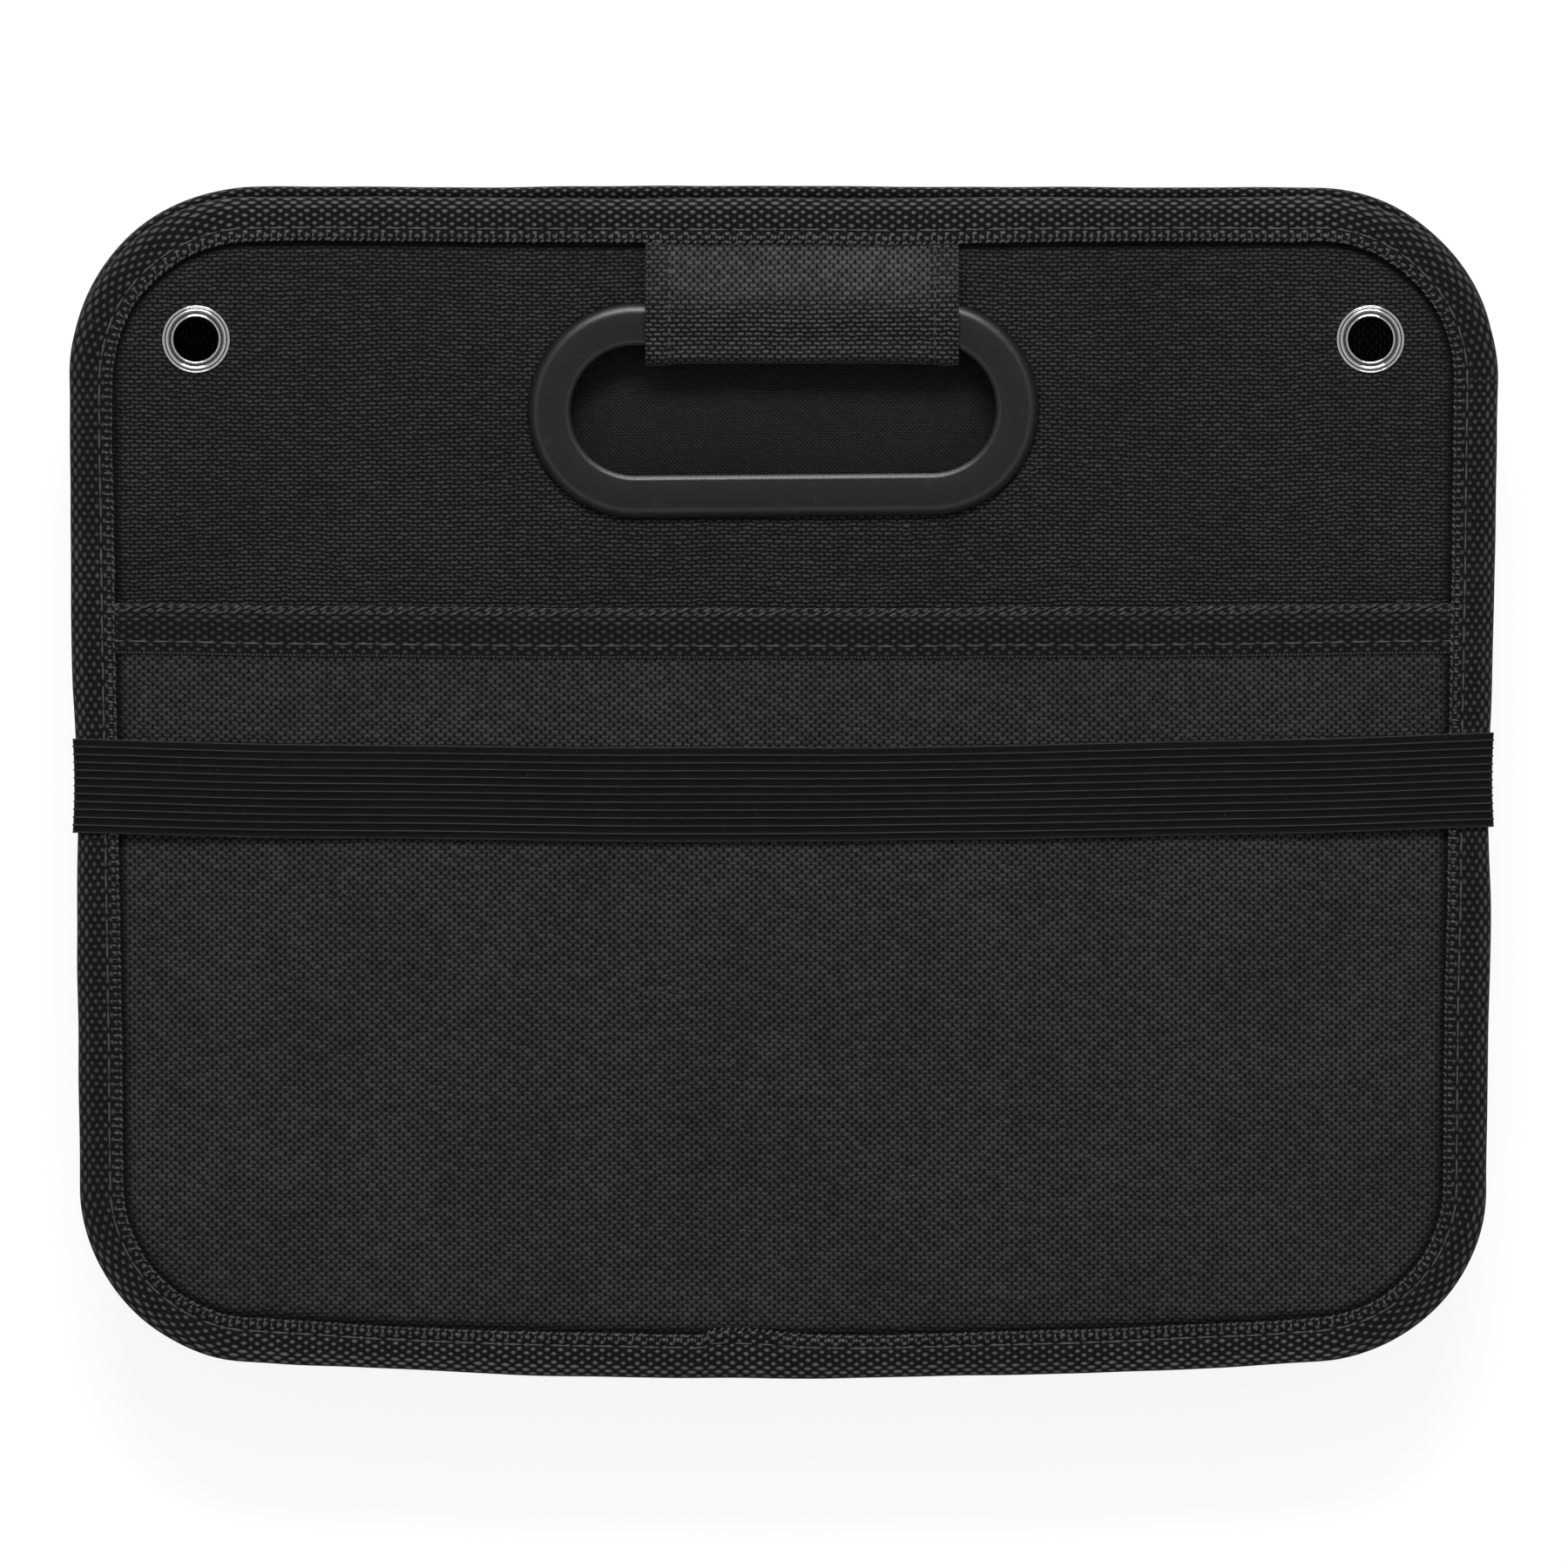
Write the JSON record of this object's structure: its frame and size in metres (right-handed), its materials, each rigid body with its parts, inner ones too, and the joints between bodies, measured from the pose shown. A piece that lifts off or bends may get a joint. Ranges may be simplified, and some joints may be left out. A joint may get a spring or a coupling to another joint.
{
  "type": "trunk organizer",
  "caption": "Fabric trunk organizer folded flat: board-stiffened end panels with hand holes, eyelets and pockets, held shut by an elastic band.",
  "frame": {"origin": "under the middle of the folded pack, on the surface that it lies on", "axes": "+X across the panels, +Y towards the handle edge, +Z out of the front panel"},
  "size_m": [0.38, 0.3174, 0.0466],
  "materials": {
    "cover_cloth": "coarse plain-weave polyester, black, matte",
    "lining_cloth": "fine plain-weave polyester, black, matte",
    "woven_tape": "dobby-woven binding tape, black, slight sheen",
    "elastic_webbing": "ribbed elastic webbing, black",
    "handle_plastic": "injection moulded, fine matte texture",
    "eyelet_steel": "nickel plated, polished",
    "stiffening_board": "extruded polypropylene board"
  },
  "bodies": {
    "root": {"front_cover": "cover_cloth", "front_board": "stiffening_board", "front_lining": "lining_cloth", "front_edge_binding": "woven_tape", "front_pocket": "cover_cloth", "front_pocket_binding": "woven_tape", "front_handle_ring": "handle_plastic", "front_handle_ring_back": "handle_plastic", "front_grip_sleeve": "cover_cloth", "front_eyelet_left": "eyelet_steel", "front_eyelet_right": "eyelet_steel", "front_eyelet_washer_left": "eyelet_steel", "front_eyelet_washer_right": "eyelet_steel", "rear_cover": "cover_cloth", "rear_board": "stiffening_board", "rear_lining": "lining_cloth", "rear_edge_binding": "woven_tape", "rear_pocket": "cover_cloth", "rear_pocket_binding": "woven_tape", "rear_handle_ring": "handle_plastic", "rear_handle_ring_back": "handle_plastic", "rear_grip_sleeve": "cover_cloth", "rear_eyelet_left": "eyelet_steel", "rear_eyelet_right": "eyelet_steel", "rear_eyelet_washer_left": "eyelet_steel", "rear_eyelet_washer_right": "eyelet_steel", "elastic_band": "elastic_webbing", "left_wall_cover": "cover_cloth", "left_wall_board_front": "stiffening_board", "left_wall_board_rear": "stiffening_board", "left_wall_rim": "woven_tape", "right_wall_cover": "cover_cloth", "right_wall_board_front": "stiffening_board", "right_wall_board_rear": "stiffening_board", "right_wall_rim": "woven_tape", "base_cover": "lining_cloth", "base_board_front": "stiffening_board", "base_board_rear": "stiffening_board", "left_corner_gusset": "cover_cloth", "right_corner_gusset": "cover_cloth"}
  },
  "joints": []
}
